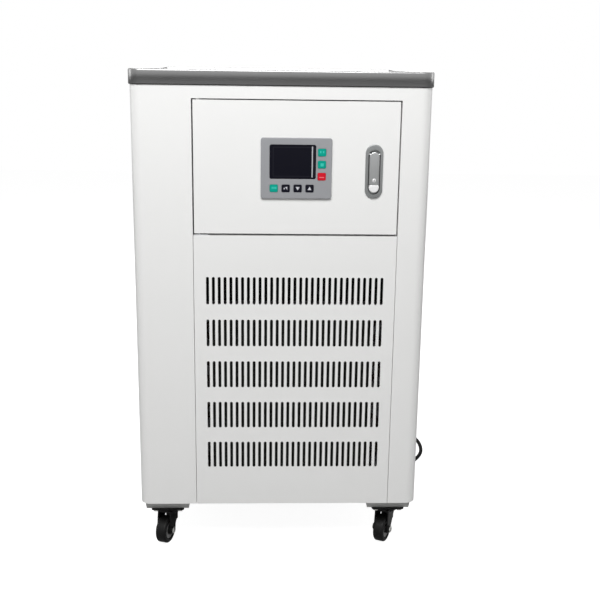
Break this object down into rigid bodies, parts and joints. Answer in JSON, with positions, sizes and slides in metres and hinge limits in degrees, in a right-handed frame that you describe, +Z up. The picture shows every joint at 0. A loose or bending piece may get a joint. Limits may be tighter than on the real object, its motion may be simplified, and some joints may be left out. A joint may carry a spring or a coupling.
{
  "type": "recirculating chiller",
  "caption": "Floor-standing recirculating chiller: sheet-metal cabinet on swivel casters, with a control door, push-button latch, slotted condenser panel and recessed steel top.",
  "frame": {"origin": "on the floor under the middle of the object's box, with the cord, its coil and plug left out", "axes": "+Z up, +X to the right as seen from the front, -Y out of the door and the slotted panel"},
  "size_m": [0.5987, 0.733, 0.866],
  "materials": {
    "white_powder_coat": "smooth semi-gloss powder coat",
    "stainless_rim": "polished stainless sheet",
    "galvanised_sheet": "galvanised",
    "grey_rail_paint": "satin grey paint",
    "black_caster_paint": "black e-coat",
    "black_wheel": "moulded, satin",
    "grey_bezel": "fine matt moulding",
    "dark_window": "clear smoked sheet",
    "green_key": "soft key, satin",
    "red_key": "soft key, satin",
    "black_key": "soft key, satin",
    "satin_zinc": "satin plated die casting",
    "bright_chrome": "polished",
    "zinc_plate": "zinc plated",
    "fin_aluminium": "mill finish fins",
    "copper_tube": "drawn copper",
    "black_machine_paint": "gloss black enamel",
    "black_rubber": "matt",
    "tank_stainless": "satin stainless",
    "valve_brass": "turned brass",
    "red_lever": "dipped lever",
    "black_plastic": "moulded",
    "transformer_steel": "varnished laminations"
  },
  "bodies": {
    "cabinet": {"cabinet_shell": "white_powder_coat", "rear_panel": "white_powder_coat", "front_grille_panel": "white_powder_coat", "top_tray": "stainless_rim", "base_pan": "galvanised_sheet", "tank_shelf": "galvanised_sheet", "cross_rail": "galvanised_sheet", "electrics_plate": "galvanised_sheet", "fan_shroud": "galvanised_sheet", "left_caster_rail": "grey_rail_paint", "right_caster_rail": "grey_rail_paint", "upper_hinge_pin": "zinc_plate", "caster_plates": "black_caster_paint", "condenser_fins": "fin_aluminium", "condenser_tubes": "copper_tube", "discharge_line": "copper_tube", "liquid_line": "copper_tube", "suction_line": "copper_tube", "filter_drier": "copper_tube", "fan_motor": "black_machine_paint", "compressor": "black_machine_paint", "circulation_pump": "black_machine_paint", "compressor_grommets": "black_rubber", "suction_hose": "black_rubber", "delivery_hose": "black_rubber", "reservoir_tank": "tank_stainless", "evaporator_coil": "tank_stainless", "hose_nipples": "tank_stainless", "drain_valve": "valve_brass", "cord_gland": "black_plastic", "power_plug": "black_plastic", "contactor": "black_plastic", "transformer": "transformer_steel", "power_cord": "black_rubber", "power_cord_coil": "black_rubber"},
    "door": {"door_panel": "white_powder_coat", "controller_housing": "grey_bezel", "display_window": "dark_window", "latch_housing": "satin_zinc"},
    "latch_handle": {"latch_handle": "satin_zinc"},
    "latch_button": {"latch_button": "bright_chrome"},
    "latch_tongue": {"latch_tongue": "zinc_plate"},
    "fan": {"fan": "black_machine_paint"},
    "filler_cap": {"filler_cap": "black_plastic"},
    "drain_lever": {"drain_lever": "red_lever"},
    "menu_key": {"menu_key": "green_key"},
    "shift_key": {"shift_key": "black_key"},
    "down_key": {"down_key": "black_key"},
    "up_key": {"up_key": "black_key"},
    "stop_key": {"stop_key": "red_key"},
    "start_key": {"start_key": "green_key"},
    "mode_key": {"mode_key": "green_key"},
    "front_left_fork": {"front_left_caster_fork": "black_caster_paint"},
    "front_left_wheel": {"front_left_caster_wheel": "black_wheel"},
    "front_right_fork": {"front_right_caster_fork": "black_caster_paint"},
    "front_right_wheel": {"front_right_caster_wheel": "black_wheel"},
    "rear_left_fork": {"rear_left_caster_fork": "black_caster_paint"},
    "rear_left_wheel": {"rear_left_caster_wheel": "black_wheel"},
    "rear_right_fork": {"rear_right_caster_fork": "black_caster_paint"},
    "rear_right_wheel": {"rear_right_caster_wheel": "black_wheel"}
  },
  "joints": [
    {"name": "door_hinge", "type": "hinge", "parent": "cabinet", "child": "door", "pos_m": [-0.1385, -0.2646, 0.70675], "axis": [0, 0, -1], "range_deg": [0, 110]},
    {"name": "latch_handle_pivot", "type": "hinge", "parent": "door", "child": "latch_handle", "pos_m": [0.155, -0.2716, 0.7315], "axis": [-1, 0, 0], "range_deg": [0, 35]},
    {"name": "latch_tongue_slide", "type": "slide", "parent": "door", "child": "latch_tongue", "axis": [-1, 0, 0], "range_m": [0, 0.009]},
    {"name": "latch_button_slide", "type": "slide", "parent": "door", "child": "latch_button", "axis": [0, 1, 0], "range_m": [0, 0.003], "stiffness_N_per_m": 300, "springref_m": -0.002},
    {"name": "fan_spin", "type": "hinge", "parent": "cabinet", "child": "fan", "pos_m": [0.0235, -0.1586, 0.2837], "axis": [0, 1, 0], "continuous": true},
    {"name": "filler_cap_lift", "type": "slide", "parent": "cabinet", "child": "filler_cap", "axis": [0, 0, 1], "range_m": [0, 0.05]},
    {"name": "drain_lever_turn", "type": "hinge", "parent": "cabinet", "child": "drain_lever", "pos_m": [0.04, 0.2446, 0.633], "axis": [0, 0, 1], "range_deg": [0, 90]},
    {"name": "menu_key_press", "type": "slide", "parent": "door", "child": "menu_key", "axis": [0, 1, 0], "range_m": [0, 0.0008], "stiffness_N_per_m": 400, "springref_m": -0.0005},
    {"name": "shift_key_press", "type": "slide", "parent": "door", "child": "shift_key", "axis": [0, 1, 0], "range_m": [0, 0.0008], "stiffness_N_per_m": 400, "springref_m": -0.0005},
    {"name": "down_key_press", "type": "slide", "parent": "door", "child": "down_key", "axis": [0, 1, 0], "range_m": [0, 0.0008], "stiffness_N_per_m": 400, "springref_m": -0.0005},
    {"name": "up_key_press", "type": "slide", "parent": "door", "child": "up_key", "axis": [0, 1, 0], "range_m": [0, 0.0008], "stiffness_N_per_m": 400, "springref_m": -0.0005},
    {"name": "stop_key_press", "type": "slide", "parent": "door", "child": "stop_key", "axis": [0, 1, 0], "range_m": [0, 0.0008], "stiffness_N_per_m": 400, "springref_m": -0.0005},
    {"name": "start_key_press", "type": "slide", "parent": "door", "child": "start_key", "axis": [0, 1, 0], "range_m": [0, 0.0008], "stiffness_N_per_m": 400, "springref_m": -0.0005},
    {"name": "mode_key_press", "type": "slide", "parent": "door", "child": "mode_key", "axis": [0, 1, 0], "range_m": [0, 0.0008], "stiffness_N_per_m": 400, "springref_m": -0.0005},
    {"name": "front_left_swivel", "type": "hinge", "parent": "cabinet", "child": "front_left_fork", "pos_m": [-0.205, -0.2096, 0.061], "axis": [0, 0, 1], "continuous": true},
    {"name": "front_left_roll", "type": "hinge", "parent": "front_left_fork", "child": "front_left_wheel", "pos_m": [-0.21081, -0.22557, 0.025], "axis": [0.9397, -0.342, 0], "continuous": true},
    {"name": "front_right_swivel", "type": "hinge", "parent": "cabinet", "child": "front_right_fork", "pos_m": [0.205, -0.2096, 0.061], "axis": [0, 0, 1], "continuous": true},
    {"name": "front_right_roll", "type": "hinge", "parent": "front_right_fork", "child": "front_right_wheel", "pos_m": [0.19728, -0.22475, 0.025], "axis": [0.891, -0.454, 0], "continuous": true},
    {"name": "rear_left_swivel", "type": "hinge", "parent": "cabinet", "child": "rear_left_fork", "pos_m": [-0.205, 0.1684, 0.061], "axis": [0, 0, 1], "continuous": true},
    {"name": "rear_left_roll", "type": "hinge", "parent": "rear_left_fork", "child": "rear_left_wheel", "pos_m": [-0.21547, 0.155, 0.025], "axis": [0.788, -0.6157, 0], "continuous": true},
    {"name": "rear_right_swivel", "type": "hinge", "parent": "cabinet", "child": "rear_right_fork", "pos_m": [0.205, 0.1684, 0.061], "axis": [0, 0, 1], "continuous": true},
    {"name": "rear_right_roll", "type": "hinge", "parent": "rear_right_fork", "child": "rear_right_wheel", "pos_m": [0.20147, 0.15177, 0.025], "axis": [0.9781, -0.2079, 0], "continuous": true}
  ],
  "couplings": [
    {"joint": "latch_tongue_slide", "follows": "latch_handle_pivot", "m_per_rad": 0.0125}
  ]
}
